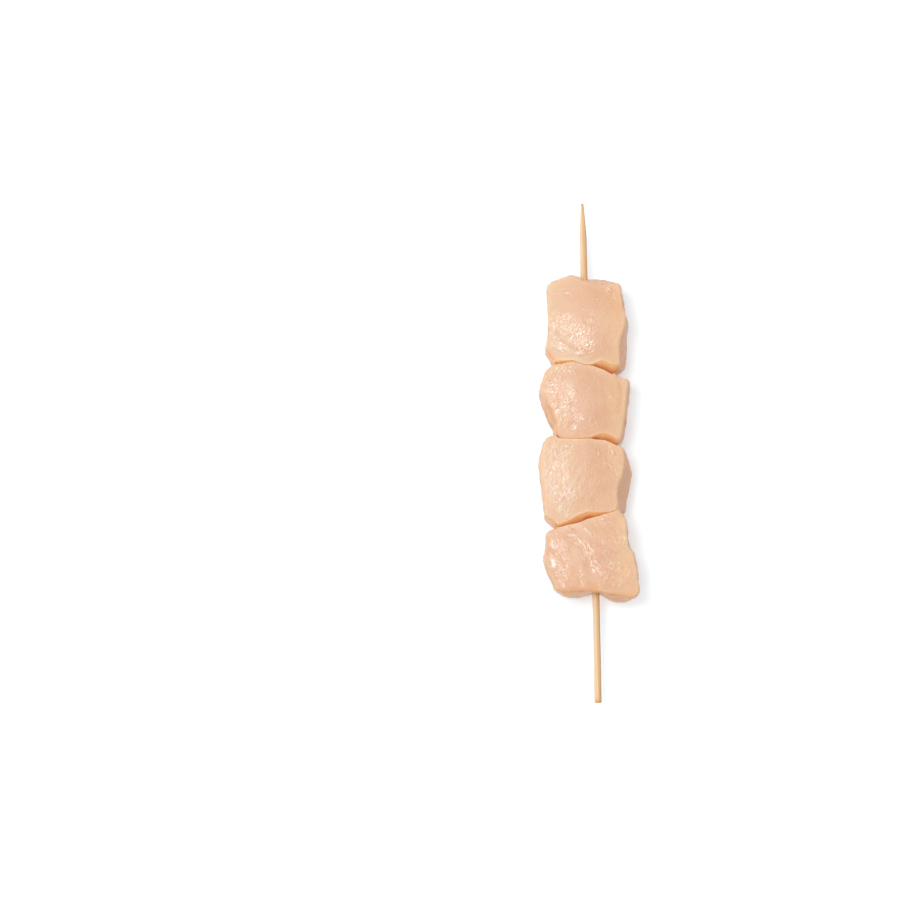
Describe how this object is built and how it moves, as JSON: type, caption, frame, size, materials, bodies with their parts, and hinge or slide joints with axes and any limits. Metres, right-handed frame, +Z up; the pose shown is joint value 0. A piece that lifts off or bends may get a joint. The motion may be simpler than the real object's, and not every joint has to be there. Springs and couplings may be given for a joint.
{
  "type": "chicken kebab skewer",
  "caption": "Raw diced chicken breast threaded in a row on a pointed round bamboo skewer, lying flat, for grilling.",
  "frame": {"origin": "middle of the kebab's footprint, on the surface it lies on", "axes": "+Y along the stick from its blunt end to its point, +Z up, +X to the right of the stick"},
  "size_m": [0.0388, 0.2, 0.0266],
  "materials": {
    "raw_chicken": "gloss",
    "bamboo": "satin"
  },
  "bodies": {
    "root": {"chunk_1": "raw_chicken", "chunk_2": "raw_chicken", "chunk_3": "raw_chicken", "chunk_4": "raw_chicken", "bamboo_stick": "bamboo"}
  },
  "joints": []
}
